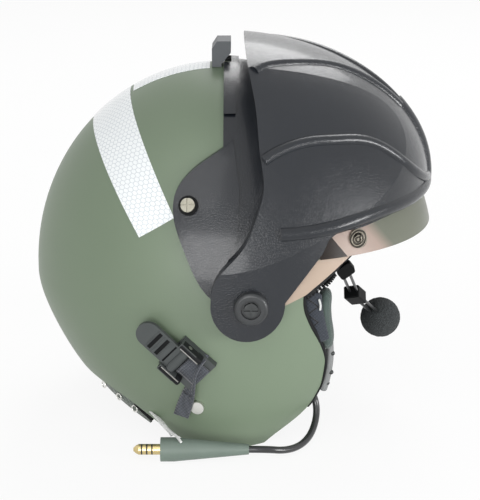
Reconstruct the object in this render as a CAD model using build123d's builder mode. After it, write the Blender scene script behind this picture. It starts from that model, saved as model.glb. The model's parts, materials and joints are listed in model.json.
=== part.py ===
from build123d import *
import math
import os

os.makedirs("parts", exist_ok=True)

# Driving sizes of the whole helmet, in millimetres.
# X points to the wearer's front, Y to the wearer's left, Z up. The lobes stand on Z = 0.
half_length = 140.0
height = 264.0
clearance = 0.3
running_fit = 0.05
overrun = 20.0

# Outer shell: an oval crown over sections that narrow to the ear lobes.
shell_half_width = 112.0
shell_half_length = 132.0
shell_rise = 143.0
shell_widest_z = 100.0
shell_wall = 3.2
shell_mid_x = shell_half_length - half_length
section_drop_shares = (0, 0.1, 0.25, 0.5, 0.8, 1.06)
section_length_shares = (1, 0.994, 0.96, 0.87, 0.70, 0.49)
section_width_shares = (1, 0.9995, 0.997, 0.985, 0.957, 0.915)

# Side outline of the shell, as shares of half_length and height.
nape_edge_shares = (
    (-1.2, 0.18), (-0.64, 0.125), (-0.5, 0.098), (-0.368, 0.053), (-0.226, 0.0125), (-0.17, 0),
)
lobe_front_shares = (
    (0.15, 0), (0.21, 0.023), (0.35, 0.076), (0.43, 0.16), (0.443, 0.22), (0.414, 0.28), (0.371, 0.326),
    (0.336, 0.417),
)
brow_edge_shares = ((0.336, 0.417), (0.579, 0.515), (0.693, 0.625), (1.2, 0.655))
top_corner_shares = ((1.2, 1.2), (-1.2, 1.2))
face_trim_depth = 3.4
face_trim_proud = 1.0

# Liners inside the shell.
foam_thickness = 18.0
comfort_thickness = 8.0
foam_edge_shares = ((-1.2, 0.25), (-0.5, 0.25), (-0.34, 0.40), (0.30, 0.445), (0.66, 0.63), (1.2, 0.665))
crown_pad_edge_shares = ((-0.62, 0.56), (0.50, 0.56), (0.50, 1.2), (-0.62, 1.2))
brow_pad_edge_shares = ((0.505, 0.60), (0.58, 0.60), (1.2, 0.69), (1.2, 0.86), (0.505, 0.70))
nape_pad_edge_shares = ((-1.2, 0.27), (-0.52, 0.27), (-0.44, 0.38), (-0.62, 0.54), (-1.2, 0.54))

# Visor cover: an oval dome on an upright oval skirt, held inside a wider hull.
dome_half_length = 145.0
dome_half_width = 124.0
dome_rise = 100.0
dome_widest_z = height - dome_rise
keel_proud = 3.5
dome_mid_x = half_length - keel_proud - dome_half_length
hull_half_length = 170.0
hull_half_width = 126.0
hull_rise = 172.0
cover_wall = 3.0
lobe_proud = 4.0
channel_floor = 1.8
arm_end_radius = 24.0
arm_end_x = 9.5
arm_end_z = 108.5
cover_front_shares = (
    (0.07, 1.2), (1.2, 1.2), (1.2, 0.640), (0.97, 0.613), (0.87, 0.603), (0.70, 0.592), (0.60, 0.582),
    (0.485, 0.580), (0.44, 0.565), (0.41, 0.53), (0.225, 0.405), (0.17, 0.36), (0.068, 0.41), (-0.10, 0.42),
)
cover_rear_shares = (
    (-0.10, 0.42), (-0.085, 0.47), (-0.03, 0.51), (0.04, 0.55), (0.11, 0.63), (0.14, 0.69), (0.125, 0.762),
    (0.105, 0.864), (0.07, 0.95), (0.07, 1.2),
)
floor_shares = (
    (-0.045, 1.2), (-0.045, 0.76), (-0.10, 0.47), (-0.10, 0.42), (-0.02, 0.42), (0.06, 0.53), (0.15, 0.64),
    (0.165, 0.69), (0.15, 0.76), (0.13, 0.86), (0.10, 0.95), (0.10, 1.2),
)
flange_shares = ((-0.045, 1.2), (-0.045, 0.84), (0.012, 0.84), (0.014, 0.875), (0.028, 0.94), (0.01, 1.2))
lobe_rear_shares = (
    (0.0, 0.785), (-0.10, 0.752), (-0.20, 0.715), (-0.262, 0.672), (-0.275, 0.62), (-0.25, 0.57),
    (-0.205, 0.51), (-0.155, 0.455), (-0.10, 0.42),
)
lobe_front_edge_shares = ((-0.10, 0.42), (0.02, 0.57), (0.03, 0.68), (0.0, 0.785))
rib_radius = 4.0
rib_sink = 1.6
rim_radius = 5.0
rim_sink = 2.4
keel_radius = 8.0
upper_rib_shares = (
    (0.10, -0.436, 0.950), (0.163, -0.381, 0.959), (0.271, -0.320, 0.959), (0.382, -0.252, 0.952),
    (0.495, -0.182, 0.938), (0.610, -0.132, 0.911), (0.724, -0.095, 0.871), (0.840, -0.060, 0.818),
)
middle_rib_shares = (
    (0.138, -0.710, 0.770), (0.263, -0.661, 0.797), (0.369, -0.619, 0.803), (0.476, -0.577, 0.799),
    (0.585, -0.525, 0.791), (0.696, -0.476, 0.767), (0.796, -0.441, 0.727), (0.879, -0.367, 0.683),
    (0.945, -0.225, 0.645), (0.975, -0.100, 0.630),
)
rim_shares = (
    (0.220, -0.836, 0.590), (0.401, -0.792, 0.590), (0.507, -0.751, 0.595), (0.617, -0.683, 0.605),
    (0.731, -0.586, 0.611), (0.868, -0.414, 0.614), (0.935, -0.270, 0.617), (0.970, -0.130, 0.619),
    (0.978, 0, 0.620),
)
probe_step = 0.5
keel_shares = ((0.835, 0, 0.822), (0.895, 0, 0.770), (0.945, 0, 0.710), (0.970, 0, 0.660), (0.978, 0, 0.612))

# Visors, both turned about the pivot line.
pivot_x = 11.5
pivot_z = 108.3
visor_wall = 2.0
visor_gap = 1.6
visor_side_gap = 0.8
spare_tilt = 8.0
inner_visor_reach = 126.5
inner_visor_half_width = 115.0
sun_visor_reach = inner_visor_reach + visor_gap + visor_wall
sun_visor_half_width = inner_visor_half_width + visor_side_gap + visor_wall
hub_radius = 12.0
pin_radius = 3.0
pin_fit = 0.08
pin_end_gap = 2.0
visor_top_tilt = 57.0
inner_edge_shares = ((0.17, 0.372), (0.225, 0.397), (0.336, 0.424), (0.579, 0.522), (1.2, 0.522))
sun_edge_shares = ((0.165, 0.40), (0.30, 0.478), (0.393, 0.512), (1.2, 0.512))

# Pivot bosses on the arms of the cover.
boss_radius = 11.0
boss_height = 4.5
boss_recess_radius = 6.5
boss_recess_depth = 2.0
screw_head_radius = 4.6
screw_head_height = 2.4
screw_slot_width = 1.2
screw_slot_depth = 1.0
side_screw_x = -28.0
side_screw_z = 168.0
washer_radius = 6.4
washer_height = 1.6
side_screw_radius = 2.0
side_screw_length = 9.0
pin_head_radius = 5.0
pin_head_height = 2.0

# Visor buttons.
button_x = 81.0
button_z = 145.5
button_radius = 6.5
button_height = 3.0

# Reflective tape.
tape_width = 25.4
tape_thickness = 0.35
tape_lift = 0.05
tape_edge_shares = ((-0.436, 0.556), (-0.271, 0.609), (-0.60, 0.95), (-0.86, 0.92))
crown_tape_shares = ((-0.26, 0.62), (-0.59, 0.96), (-0.59, 1.2), (-0.115, 1.2), (-0.115, 0.62))

# Crown clip.
clip_width = 24.0
clip_rear_x = -14.7
clip_front_x = -1.75
clip_edge_shares = (
    (-0.105, 0.88), (-0.105, 0.965), (-0.08, 0.985), (-0.0125, 0.985), (-0.0125, 0.955), (-0.06, 0.925),
    (-0.04, 0.88),
)

# Ear cups and their seals.
ear_x = 20.0
ear_z = 72.0
seal_half_length = 43.0
seal_half_height = 46.0
seal_inner_y = 60.0
seal_depth = 18.0
seal_band = 19.0
seal_round = 6.4
cup_half_length = 36.0
cup_half_height = 38.0
cup_depth = 16.0
cup_wall = 2.5
cup_taper_share = 0.7
lug_length = 6.0
lug_width = 14.0
receiver_radius = 15.0
receiver_depth = 6.0
spacer_half_length = 16.0
spacer_half_height = 20.0

# Microphone boom on the near side.
boom_x = 74.3
boom_y = -86.0
boom_z = 121.2
boom_tilt = 37.5
clamp_length = 11.0
clamp_width = 8.0
clamp_height = 7.8
boom_pin_radius = 1.5
boom_hub_radius = 4.0
boom_hub_width = 4.0
wire_radius = 1.0
wire_spacing = 5.0
mic_block_x = 84.4
mic_block_y = -45.0
mic_block_z = 88.8
mic_block_length = 17.0
mic_block_width = 9.0
mic_block_depth = 11.0
foam_x = 106.8
foam_y = -2.0
foam_z = 56.3
foam_radius = 14.6

# Nape strap buckle on the near side.
buckle_x = -34.5
buckle_z = 70.0
buckle_turn = 47.0
buckle_width = 26.0
buckle_length = 28.0
buckle_base_height = 4.0
cheek_width = 4.0
cheek_height = 12.0
cheek_length = 13.0
lever_length = 34.0
lever_width = 17.0
lever_thickness = 3.0
lever_barrel_radius = 3.5
lever_slot_length = 9.0
lever_slot_width = 2.2
lever_slot_shares = (0.40, 0.58)
buckle_pin_radius = 1.5
web_thickness = 1.6
web_edge_shares = ((-0.240, 0.20), (-0.150, 0.20), (-0.242, 0.083), (-0.330, 0.080))
stud_radius = 4.5
stud_height = 2.6
stud_x = -23.7
stud_z = 32.3

# Nape strap and laces.
nape_strap_edge_shares = (
    (-1.2, 0.12), (-0.64, 0.070), (-0.42, 0.028), (-0.42, 0.10), (-0.64, 0.165), (-1.2, 0.215),
)
eyelet_shares = ((-0.72, 0.098), (-0.64, 0.086), (-0.56, 0.072), (-0.48, 0.056))
nape_strap_thickness = 2.0
eyelet_radius = 1.8

# Chin strap.
chin_strap_x = 10.0
chin_strap_width = 18.0
chin_strap_thickness = 2.0
chin_strap_half_span = 86.0
chin_strap_top_z = 30.0
chin_strap_low_z = 1.2
chin_strap_round = 24.0
chin_stud_radius = 4.0
chin_buckle_length = 26.0
chin_buckle_height = 7.0

# Cord, sleeve and plug.
cord_radius = 2.4
cord_bend_share = 0.45
relief_length = 10.0
relief_radius = 4.2
relief_thin_radius = 3.2
plug_y = -122.0
plug_z = 8.0
plug_tip_x = -66.0
plug_shoulder_x = -48.0
sleeve_end_x = 10.4
plug_radius = 3.565
plug_tip_length = 3.5
plug_nose_radius = 1.2
plug_brow_radius = 2.7
sleeve_thick_radius = 8.0
sleeve_thin_radius = 3.4
collar_length = 9.0
insulator_width = 1.0
insulator_depth = 0.6
insulator_shares = (0.28, 0.47, 0.66)
cord_route = (
    (50.0, -82.7, 40.0), (55.0, -75.5, 28.0), (57.5, -78.0, 18.0), (56.0, -86.0, 10.0), (51.5, -96.5, 4.6),
    (44.0, -107.5, 2.9), (34.0, -116.5, 4.4), (22.5, -122.0, 8.0), (10.4, -122.0, 8.0),
)


def at_shares(shares):
    """Points of the side view from shares of half_length and height."""
    return [(x * half_length, z * height) for x, z in shares]


def oval_body(centre, half_sizes):
    """A closed ellipsoid about a centre."""
    with BuildPart() as unit:
        Sphere(1)
        scale(by=half_sizes)
    with BuildPart() as body:
        with Locations(centre):
            add(unit.part)
    return body.part


def head_form(grow):
    """The closed outer form of the shell, grown or shrunk by a wall."""
    with BuildPart() as form:
        add(
            oval_body(
                (shell_mid_x, 0, shell_widest_z),
                (shell_half_length + grow, shell_half_width + grow, shell_rise + grow),
            )
        )
        split(bisect_by=Plane.XY.offset(shell_widest_z), keep=Keep.TOP)
    with BuildPart() as lobes:
        for drop, length, width in zip(section_drop_shares, section_length_shares, section_width_shares):
            with BuildSketch(Plane.XY.offset(shell_widest_z * (1 - drop))):
                with Locations((shell_mid_x, 0)):
                    Ellipse(shell_half_length * length + grow, shell_half_width * width + grow)
        loft()
    with BuildPart() as whole:
        add(form.part)
        add(lobes.part)
    return whole.part


def dome_form(grow):
    """The closed outer form of the visor cover: dome and skirt, trimmed by the hull."""
    with BuildPart() as form:
        add(
            oval_body(
                (dome_mid_x, 0, dome_widest_z),
                (dome_half_length + grow, dome_half_width + grow, dome_rise + grow),
            )
        )
        split(bisect_by=Plane.XY.offset(dome_widest_z), keep=Keep.TOP)
        with BuildSketch(Plane.XY.offset(dome_widest_z)):
            with Locations((dome_mid_x, 0)):
                Ellipse(dome_half_length + grow, dome_half_width + grow)
        extrude(amount=-dome_widest_z)
        add(
            oval_body(
                (shell_mid_x, 0, shell_widest_z),
                (hull_half_length + grow, hull_half_width + grow, hull_rise + grow),
            ),
            mode=Mode.INTERSECT,
        )
    return form.part


def onto_cover(share, sink):
    """The spot of the cover's surface straight out from its middle, a little below it."""
    x, y, z = share[0] * half_length, share[1] * half_length, share[2] * height
    length, width, rise = dome_half_length - sink, dome_half_width - sink, dome_rise - sink
    above = max(z - dome_widest_z, 0)
    grow = 1 / math.hypot((x - dome_mid_x) / length, y / width, above / rise)
    x, y = dome_mid_x + (x - dome_mid_x) * grow, y * grow
    if above > 0:
        z = dome_widest_z + above * grow
    outside = math.hypot(
        (x - shell_mid_x) / (hull_half_length - sink),
        y / (hull_half_width - sink),
        (z - shell_widest_z) / (hull_rise - sink),
    )
    if outside > 1:
        x = shell_mid_x + (x - shell_mid_x) / outside
        y = y / outside
        z = shell_widest_z + (z - shell_widest_z) / outside
    return Vector(x, y, z)


def bead(spots, radius):
    """A round bead along a smooth line."""
    with BuildPart() as rib:
        with BuildLine():
            line = Spline(*spots)
        with BuildSketch(Plane(line @ 0, z_dir=line % 0)):
            Circle(radius)
        sweep()
    return rib.part


def side_prism(points):
    """A block through the whole width, with a straight-sided side view."""
    with BuildPart() as block:
        with BuildSketch(Plane.XZ):
            with BuildLine():
                Polyline(*points, close=True)
            make_face()
        extrude(amount=half_length + overrun, both=True)
    return block.part


def half_space(side):
    """A block that holds one side of the helmet: -1 near, 1 far."""
    with BuildPart() as block:
        with Locations((0, side * (half_length + overrun), height / 2)):
            Box(4 * half_length, 2 * (half_length + overrun), 2 * height)
    return block.part


def shell_y(x, z):
    """How far out the shell's surface is at a place of the side view."""
    if z >= shell_widest_z:
        length, width = 1.0, 1.0
        drop = ((z - shell_widest_z) / shell_rise) ** 2
    else:
        share = 1 - z / shell_widest_z
        table = list(zip(section_drop_shares, section_length_shares, section_width_shares))
        for low, high in zip(table, table[1:]):
            if low[0] <= share <= high[0]:
                part = (share - low[0]) / (high[0] - low[0])
                length = low[1] + part * (high[1] - low[1])
                width = low[2] + part * (high[2] - low[2])
        drop = 0
    reach = 1 - drop - ((x - shell_mid_x) / (shell_half_length * length)) ** 2
    return shell_half_width * width * math.sqrt(max(reach, 0))


def tangent_plane(x, z, side, lift, x_dir=(1, 0, 0)):
    """A plane that touches the shell, lifted off it along its outward normal."""
    y = shell_y(x, z)
    slope_x = (shell_y(x + probe_step, z) - shell_y(x - probe_step, z)) / (2 * probe_step)
    slope_z = (shell_y(x, z + probe_step) - shell_y(x, z - probe_step)) / (2 * probe_step)
    normal = Vector(-slope_x, side, -slope_z).normalized()
    return Plane(Vector(x, side * y, z) + normal * lift, x_dir=x_dir, z_dir=normal)


def pivot_plane(side, y):
    """A plane across the pivot line that faces outwards."""
    return Plane((pivot_x, side * y, pivot_z), x_dir=(1, 0, 0), z_dir=(0, side, 0))


def standing(radius, length, **options):
    """A cylinder that stands on the plane in use."""
    return Cylinder(radius, length, align=(Align.CENTER, Align.CENTER, Align.MIN), **options)


def rod(points, radius):
    """A round rod along straight runs, with a ball at each bend."""
    with BuildPart() as bar:
        for start, end in zip(points, points[1:]):
            run = Vector(*end) - Vector(*start)
            with Locations(Plane(start, z_dir=run)):
                standing(radius, run.length)
        for bend in points[1:-1]:
            with Locations(bend):
                Sphere(radius)
    return bar.part


def finish(piece, name):
    """Name a piece and write its file."""
    piece.part.label = name
    export_step(piece.part, "parts/" + name + ".step")


# Outer shell with its face opening
with BuildPart() as shell_window:
    with BuildSketch(Plane.XZ):
        with BuildLine():
            nape = Spline(*at_shares(nape_edge_shares))
            foot = Line(at_shares(nape_edge_shares)[-1], at_shares(lobe_front_shares)[0])
            front = Spline(*at_shares(lobe_front_shares))
            Polyline(*at_shares(brow_edge_shares + top_corner_shares), at_shares(nape_edge_shares)[0])
        make_face()
    extrude(amount=half_length + overrun, both=True)

outer_form = head_form(0)
seat_form = head_form(clearance)
inner_form = head_form(-shell_wall)
foam_form = head_form(-shell_wall - clearance)
foam_face_form = head_form(-shell_wall - clearance - foam_thickness)
pad_form = head_form(-shell_wall - clearance * 2 - foam_thickness)
pad_face_form = head_form(-shell_wall - clearance * 2 - foam_thickness - comfort_thickness)

# Holes for the pivot pins and the side screws, through shell and cover alike
with BuildPart() as bores:
    for side in (-1, 1):
        with Locations(pivot_plane(side, pin_radius)):
            standing(pin_radius, half_length)
        with Locations(tangent_plane(side_screw_x, side_screw_z, side, -side_screw_length)):
            standing(side_screw_radius + running_fit, 2 * side_screw_length)

with BuildPart() as outer_shell:
    add(outer_form)
    add(inner_form, mode=Mode.SUBTRACT)
    add(shell_window.part, mode=Mode.INTERSECT)
    add(bores.part, mode=Mode.SUBTRACT)
finish(outer_shell, "outer_shell")

# Black edging of the face opening
edge = at_shares(brow_edge_shares)
edge_slope = math.radians(boom_tilt)
edge_step = (face_trim_depth * math.sin(edge_slope), -face_trim_depth * math.cos(edge_slope))
with BuildPart() as face_trim:
    add(head_form(face_trim_proud))
    add(head_form(-shell_wall - face_trim_proud), mode=Mode.SUBTRACT)
    lower_edge = [(x + edge_step[0], z + edge_step[1]) for x, z in reversed(edge)]
    add(side_prism(edge + lower_edge), mode=Mode.INTERSECT)
finish(face_trim, "face_edge_trim")

# Foam liner and the three comfort pads
with BuildPart() as foam_liner:
    add(foam_form)
    add(foam_face_form, mode=Mode.SUBTRACT)
    add(side_prism(at_shares(foam_edge_shares + top_corner_shares)), mode=Mode.INTERSECT)
finish(foam_liner, "impact_liner")

with BuildPart() as pad_layer:
    add(pad_form)
    add(pad_face_form, mode=Mode.SUBTRACT)
for name, shares in (
    ("crown_pad", crown_pad_edge_shares),
    ("brow_pad", brow_pad_edge_shares),
    ("nape_pad", nape_pad_edge_shares),
):
    with BuildPart() as pad:
        add(pad_layer.part)
        add(side_prism(at_shares(shares)), mode=Mode.INTERSECT)
    finish(pad, name)

# Space in which the two visors swing, inside the arms of the cover
swing_reach = sun_visor_reach + visor_gap
swing_half_width = sun_visor_half_width + visor_side_gap
swing_tilt = math.radians(visor_top_tilt + spare_tilt)
swing_side = 2 * half_length
with BuildPart() as swing_space:
    add(oval_body((pivot_x, 0, pivot_z), (swing_reach, swing_half_width, swing_reach)))
    add(
        side_prism(
            [
                (pivot_x, pivot_z),
                (pivot_x + swing_side * math.cos(swing_tilt), pivot_z + swing_side * math.sin(swing_tilt)),
                (3 * half_length, pivot_z),
                (pivot_x, pivot_z - 2 * half_length),
            ]
        ),
        mode=Mode.INTERSECT,
    )
    with Locations(Plane((pivot_x, 0, pivot_z), z_dir=(0, 1, 0)).location):
        Cylinder(hub_radius + visor_gap, 2 * swing_half_width)

# Visor cover: dome with ribs, closing wall behind it, side lobes and arms
cover_outer = dome_form(0)
cover_inner = dome_form(-cover_wall)
rim_half = [onto_cover(share, rim_sink) for share in rim_shares]
rim_line = rim_half + [Vector(spot.X, -spot.Y, spot.Z) for spot in reversed(rim_half[:-1])]
upper_line = [onto_cover(share, rib_sink) for share in upper_rib_shares]
middle_line = [onto_cover(share, rib_sink) for share in middle_rib_shares]
keel_line = [onto_cover(share, keel_radius - keel_proud) for share in keel_shares]
with BuildPart() as near_ribs:
    add(bead(upper_line, rib_radius))
    add(bead(middle_line, rib_radius))
with BuildPart() as ribs:
    add(near_ribs.part)
    mirror(about=Plane.XZ)
    add(bead(rim_line, rim_radius))
    add(bead(keel_line, keel_radius))
    add(cover_inner, mode=Mode.SUBTRACT)

with BuildPart() as cover_outline:
    with BuildSketch(Plane.XZ):
        with BuildLine():
            Spline(*at_shares(cover_rear_shares))
            Polyline(*at_shares(cover_front_shares))
        make_face()
    extrude(amount=half_length + overrun, both=True)
    with Locations(Plane((arm_end_x, 0, arm_end_z), z_dir=(0, 1, 0))):
        Cylinder(arm_end_radius, 4 * half_length)

with BuildPart() as wall_outline:
    rear = at_shares(cover_rear_shares)
    behind = [(x + cover_wall, z) for x, z in reversed(rear)]
    with BuildSketch(Plane.XZ):
        with BuildLine():
            Spline(*rear)
            Line(rear[-1], behind[0])
            Spline(*behind)
            Line(behind[-1], rear[0])
        make_face()
    extrude(amount=half_length + overrun, both=True)
with BuildPart() as arm_end_wall:
    with Locations(Plane((arm_end_x, 0, arm_end_z), z_dir=(0, 1, 0))):
        Cylinder(arm_end_radius, 4 * half_length)
        Cylinder(arm_end_radius - cover_wall, 4 * half_length, mode=Mode.SUBTRACT)
    split(bisect_by=Plane.YZ.offset(arm_end_x), keep=Keep.BOTTOM)

with BuildPart() as closing_wall:
    add(cover_outer)
    add(seat_form, mode=Mode.SUBTRACT)
with BuildPart() as rear_wall:
    add(closing_wall.part)
    add(wall_outline.part, mode=Mode.INTERSECT)
with BuildPart() as end_wall:
    add(closing_wall.part)
    add(arm_end_wall.part, mode=Mode.INTERSECT)

with BuildPart() as lobe_outline:
    with BuildSketch(Plane.XZ):
        with BuildLine():
            Spline(*at_shares(lobe_rear_shares))
            Polyline(*at_shares(lobe_front_edge_shares))
        make_face()
    extrude(amount=half_length + overrun, both=True)
with BuildPart() as side_lobes:
    add(head_form(lobe_proud))
    add(seat_form, mode=Mode.SUBTRACT)
with BuildPart() as flange:
    add(side_lobes.part)
    add(side_prism(at_shares(flange_shares)), mode=Mode.INTERSECT)
with BuildPart() as lobes:
    add(side_lobes.part)
    add(lobe_outline.part, mode=Mode.INTERSECT)
with BuildPart() as channel:
    add(head_form(clearance + channel_floor))
    add(seat_form, mode=Mode.SUBTRACT)
    add(side_prism(at_shares(floor_shares)), mode=Mode.INTERSECT)
with BuildPart() as clip_seat:
    with Locations(((clip_rear_x + clip_front_x) / 2, 0, height)):
        Box(clip_front_x - clip_rear_x + 2 * clearance, clip_width + 2 * clearance, height)

with BuildPart() as visor_cover:
    add(cover_outer)
    add(cover_inner, mode=Mode.SUBTRACT)
    add(cover_outline.part, mode=Mode.INTERSECT)
    add(ribs.part)
    add(rear_wall.part)
    add(end_wall.part)
    add(channel.part)
    add(flange.part)
    add(lobes.part)
    add(clip_seat.part, mode=Mode.SUBTRACT)
    add(swing_space.part, mode=Mode.SUBTRACT)
    add(bores.part, mode=Mode.SUBTRACT)
print("cover solids", len(visor_cover.part.solids()), [round(v.volume) for v in visor_cover.part.solids()])
finish(visor_cover, "visor_cover")

# Inner visor and sun visor: one oval lens each, with arms that end in hubs on the pivot line
top_x = 3 * half_length * math.cos(math.radians(visor_top_tilt))
top_z = 3 * half_length * math.sin(math.radians(visor_top_tilt))
for name, reach, half_width, shares in (
    ("inner_visor", inner_visor_reach, inner_visor_half_width, inner_edge_shares),
    ("sun_visor", sun_visor_reach, sun_visor_half_width, sun_edge_shares),
):
    inner_reach = reach - visor_wall
    inner_half_width = half_width - visor_wall
    with BuildPart() as outline:
        add(
            side_prism(
                at_shares(shares) + [(pivot_x + top_x, pivot_z + top_z), (pivot_x, pivot_z + hub_radius)]
            )
        )
        with Locations(Plane((pivot_x, 0, pivot_z), z_dir=(0, 1, 0)).location):
            Cylinder(hub_radius, 3 * half_length)
    with BuildPart() as visor:
        add(oval_body((pivot_x, 0, pivot_z), (reach, half_width, reach)))
        add(outline.part, mode=Mode.INTERSECT)
        add(
            oval_body((pivot_x, 0, pivot_z), (inner_reach, inner_half_width, inner_reach)),
            mode=Mode.SUBTRACT,
        )
        with Locations(Plane((pivot_x, 0, pivot_z), z_dir=(0, 1, 0)).location):
            Cylinder(pin_radius + pin_fit, 3 * half_length, mode=Mode.SUBTRACT)
    print(name, "solids", len(visor.part.solids()))
    finish(visor, name)

# Pivot bosses with a recess, their cross-head screws, and the pins behind them
boss_seat = dome_half_width - cover_wall
boss_top = dome_half_width + boss_height
with BuildPart() as bosses:
    for side in (-1, 1):
        with Locations(pivot_plane(side, boss_seat)):
            standing(boss_radius, boss_top - boss_seat)
    fillet(bosses.edges().filter_by(GeomType.CIRCLE).group_by(Axis.Y)[0], boss_height / 2)
    fillet(bosses.edges().filter_by(GeomType.CIRCLE).group_by(Axis.Y)[-1], boss_height / 2)
    for side in (-1, 1):
        with Locations(pivot_plane(side, boss_top - boss_recess_depth)):
            standing(boss_recess_radius, boss_height, mode=Mode.SUBTRACT)
    add(dome_form(running_fit), mode=Mode.SUBTRACT)
finish(bosses, "pivot_bosses")


def cross_head(plane, radius, height):
    """A low round screw head with a cross slot, on a plane."""
    with BuildPart() as head:
        with Locations(plane):
            standing(radius, height)
        with Locations(plane.offset(height)):
            Box(2 * radius, screw_slot_width, 2 * screw_slot_depth, mode=Mode.SUBTRACT)
            Box(screw_slot_width, 2 * radius, 2 * screw_slot_depth, mode=Mode.SUBTRACT)
    return head.part


with BuildPart() as pivot_screws:
    for side in (-1, 1):
        add(cross_head(pivot_plane(side, boss_top - boss_recess_depth), screw_head_radius, screw_head_height))
finish(pivot_screws, "pivot_screws")

pin_foot = shell_y(pivot_x, pivot_z) - shell_wall - pin_head_height
with BuildPart() as shell_wall_form:
    add(outer_form)
    add(inner_form, mode=Mode.SUBTRACT)
    add(bores.part, mode=Mode.SUBTRACT)
with BuildPart() as pivot_pins:
    for side in (-1, 1):
        with Locations(pivot_plane(side, pin_foot)):
            standing(pin_head_radius, pin_head_height)
            standing(pin_radius, dome_half_width - pin_end_gap - pin_foot)
    add(shell_wall_form.part, mode=Mode.SUBTRACT)
finish(pivot_pins, "pivot_pins")

# Washers and screws of the side lobes
with BuildPart() as washers:
    for side in (-1, 1):
        with Locations(tangent_plane(side_screw_x, side_screw_z, side, lobe_proud - washer_height)):
            standing(washer_radius, 2 * washer_height)
    add(head_form(lobe_proud + running_fit), mode=Mode.SUBTRACT)
    add(bores.part, mode=Mode.SUBTRACT)
finish(washers, "cover_washers")

with BuildPart() as side_screws:
    for side in (-1, 1):
        add(
            cross_head(
                tangent_plane(side_screw_x, side_screw_z, side, lobe_proud + washer_height),
                screw_head_radius,
                screw_head_height,
            )
        )
        with Locations(
            tangent_plane(side_screw_x, side_screw_z, side, lobe_proud + washer_height - side_screw_length)
        ):
            standing(side_screw_radius, side_screw_length)
finish(side_screws, "cover_screws")

# Round buttons that carry the grips of the sun visor
button_reach = math.hypot(button_x - pivot_x, button_z - pivot_z)
button_y = sun_visor_half_width * math.sqrt(1 - (button_reach / sun_visor_reach) ** 2)
with BuildPart() as buttons:
    for side in (-1, 1):
        button_normal = Vector(
            (button_x - pivot_x) / sun_visor_reach**2,
            side * button_y / sun_visor_half_width**2,
            (button_z - pivot_z) / sun_visor_reach**2,
        ).normalized()
        button_plane = Plane((button_x, side * button_y, button_z), x_dir=(1, 0, 0), z_dir=button_normal)
        with Locations(button_plane.offset(-visor_wall / 2)):
            standing(button_radius, visor_wall / 2 + button_height / 2)
        add(cross_head(button_plane.offset(button_height / 2), button_radius / 2, button_height / 2))
    add(
        oval_body(
            (pivot_x, 0, pivot_z),
            (
                sun_visor_reach + running_fit,
                sun_visor_half_width + running_fit,
                sun_visor_reach + running_fit,
            ),
        ),
        mode=Mode.SUBTRACT,
    )
finish(buttons, "visor_buttons")

# Reflective tape: a band over the crown and a strip along it
with BuildPart() as tape_layer:
    add(head_form(tape_lift + tape_thickness))
    add(head_form(tape_lift), mode=Mode.SUBTRACT)
    split(bisect_by=Plane.XY.offset(shell_widest_z), keep=Keep.TOP)
with BuildPart() as cross_band:
    add(tape_layer.part)
    add(side_prism(at_shares(tape_edge_shares)), mode=Mode.INTERSECT)
finish(cross_band, "reflective_cross_band")
with BuildPart() as crown_strip:
    add(tape_layer.part)
    add(side_prism(at_shares(crown_tape_shares)), mode=Mode.INTERSECT)
    with Locations((0, 0, height)):
        Box(4 * half_length, tape_width, height, mode=Mode.INTERSECT)
finish(crown_strip, "reflective_crown_strip")

# Clip that holds the top of the cover to the crown
with BuildPart() as crown_clip:
    with BuildSketch(Plane.XZ):
        with BuildLine():
            Polyline(*at_shares(clip_edge_shares), close=True)
        make_face()
    extrude(amount=clip_width / 2, both=True)
    add(seat_form, mode=Mode.SUBTRACT)
finish(crown_clip, "crown_clip")

# Ear cups: seal, cup, receiver and the spacer pad that carries the cup in the lobe
for side, word in ((-1, "right"), (1, "left")):
    ear = Plane((ear_x, 0, ear_z), x_dir=(1, 0, 0), z_dir=(0, side, 0))
    cup_mouth = seal_inner_y + seal_depth
    with BuildPart() as seal:
        with BuildSketch(ear.offset(seal_inner_y)):
            SlotOverall(2 * seal_half_height, 2 * seal_half_length, rotation=90)
            SlotOverall(
                2 * (seal_half_height - seal_band), 2 * (seal_half_length - seal_band), rotation=90,
                mode=Mode.SUBTRACT,
            )
        extrude(amount=seal_depth)
        fillet(seal.edges().filter_by(Axis.Y, reverse=True), seal_round)
    finish(seal, word + "_ear_seal")
    with BuildPart() as cup:
        with BuildSketch(ear.offset(cup_mouth)):
            SlotOverall(2 * cup_half_height, 2 * cup_half_length, rotation=90)
        with BuildSketch(ear.offset(cup_mouth + cup_depth)):
            SlotOverall(
                2 * cup_half_height * cup_taper_share, 2 * cup_half_length * cup_taper_share, rotation=90
            )
        loft()
        with BuildSketch(ear.offset(cup_mouth)):
            SlotOverall(2 * (cup_half_height - cup_wall), 2 * (cup_half_length - cup_wall), rotation=90)
        with BuildSketch(ear.offset(cup_mouth + cup_depth - cup_wall)):
            SlotOverall(
                2 * (cup_half_height * cup_taper_share - cup_wall),
                2 * (cup_half_length * cup_taper_share - cup_wall),
                rotation=90,
            )
        loft(mode=Mode.SUBTRACT)
    finish(cup, word + "_ear_cup")
    with BuildPart() as receiver:
        with Locations(ear.offset(cup_mouth + cup_depth - cup_wall - receiver_depth)):
            standing(receiver_radius, receiver_depth)
    finish(receiver, word + "_receiver")
    with BuildPart() as spacer:
        with BuildSketch(ear.offset(cup_mouth + cup_depth)):
            SlotOverall(2 * spacer_half_height, 2 * spacer_half_length, rotation=90)
        extrude(amount=shell_half_width - cup_mouth - cup_depth)
        add(inner_form, mode=Mode.INTERSECT)
    finish(spacer, word + "_ear_spacer")

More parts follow.
